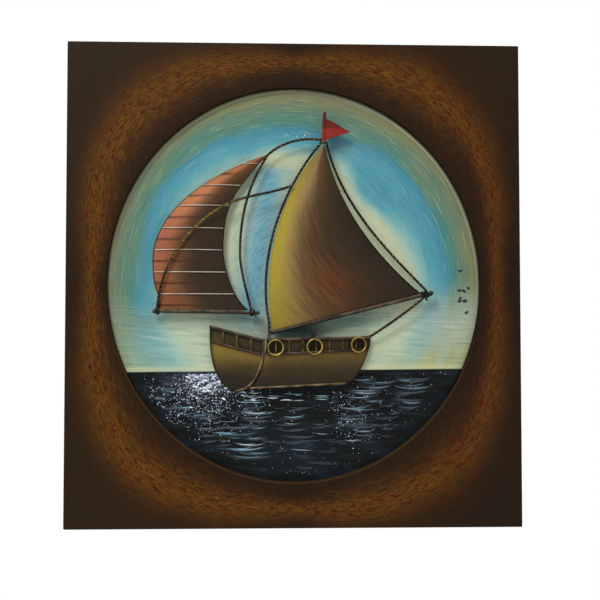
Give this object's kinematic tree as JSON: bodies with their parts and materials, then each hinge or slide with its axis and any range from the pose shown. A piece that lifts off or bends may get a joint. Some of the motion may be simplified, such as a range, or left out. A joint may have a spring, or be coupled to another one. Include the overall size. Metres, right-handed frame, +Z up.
{
  "type": "metal wall art",
  "caption": "Painted sheet-metal wall panel with an oval window and a relief sailing boat of bent sheet, rods and twisted wire standing in front of a painted sea and sky.",
  "frame": {"origin": "middle of the rear flange along the top edge, on its wall side, where the panel hangs", "axes": "+X to the right seen from the front, +Y towards the wall, +Z up"},
  "size_m": [0.6, 0.0528, 0.64],
  "materials": {
    "surround_paint": "brushed brown and ochre paint, satin",
    "backdrop_paint": "hand-painted sky and sea, satin",
    "main_sail_paint": "bronze and gold paint, satin",
    "mizzen_sail_paint": "terracotta and dark brown paint, satin",
    "hull_paint": "bronze paint, satin",
    "red_paint": "red paint, satin",
    "dark_rod": "dark bronze, worn bright on top",
    "dark_wire": "blackened twisted wire",
    "batten_wire": "bright wire, lacquered",
    "brass_rod": "worn brass"
  },
  "bodies": {
    "root": {"surround_panel": "surround_paint", "window_rim": "surround_paint", "surround_frame": "surround_paint", "backdrop_disc": "backdrop_paint", "main_sail": "main_sail_paint", "main_boom": "dark_rod", "boom_post": "dark_rod", "mizzen_sail": "mizzen_sail_paint", "mizzen_batten_1": "batten_wire", "mizzen_batten_2": "batten_wire", "mizzen_batten_3": "batten_wire", "mizzen_batten_4": "batten_wire", "mizzen_batten_5": "batten_wire", "mizzen_batten_6": "batten_wire", "mizzen_batten_7": "batten_wire", "mizzen_boom": "dark_rod", "pennant": "red_paint", "transom": "hull_paint", "hull_side": "hull_paint", "transom_top_rail": "dark_rod", "transom_lower_rail": "dark_rod", "side_top_rail": "dark_rod", "side_lower_rail": "dark_rod", "transom_batten_1": "brass_rod", "transom_batten_2": "brass_rod", "transom_batten_3": "brass_rod", "side_batten_1": "brass_rod", "side_batten_2": "brass_rod", "side_batten_3": "brass_rod", "side_batten_4": "brass_rod", "side_batten_5": "brass_rod", "side_batten_6": "brass_rod", "side_batten_7": "brass_rod", "porthole_ring_1": "brass_rod", "porthole_ring_2": "brass_rod", "porthole_ring_3": "brass_rod", "main_luff_wire": "dark_wire", "main_leech_wire": "dark_wire", "main_sheet_wire": "dark_wire", "mizzen_luff_wire": "dark_wire", "mizzen_brace_wire": "dark_wire"}
  },
  "joints": []
}
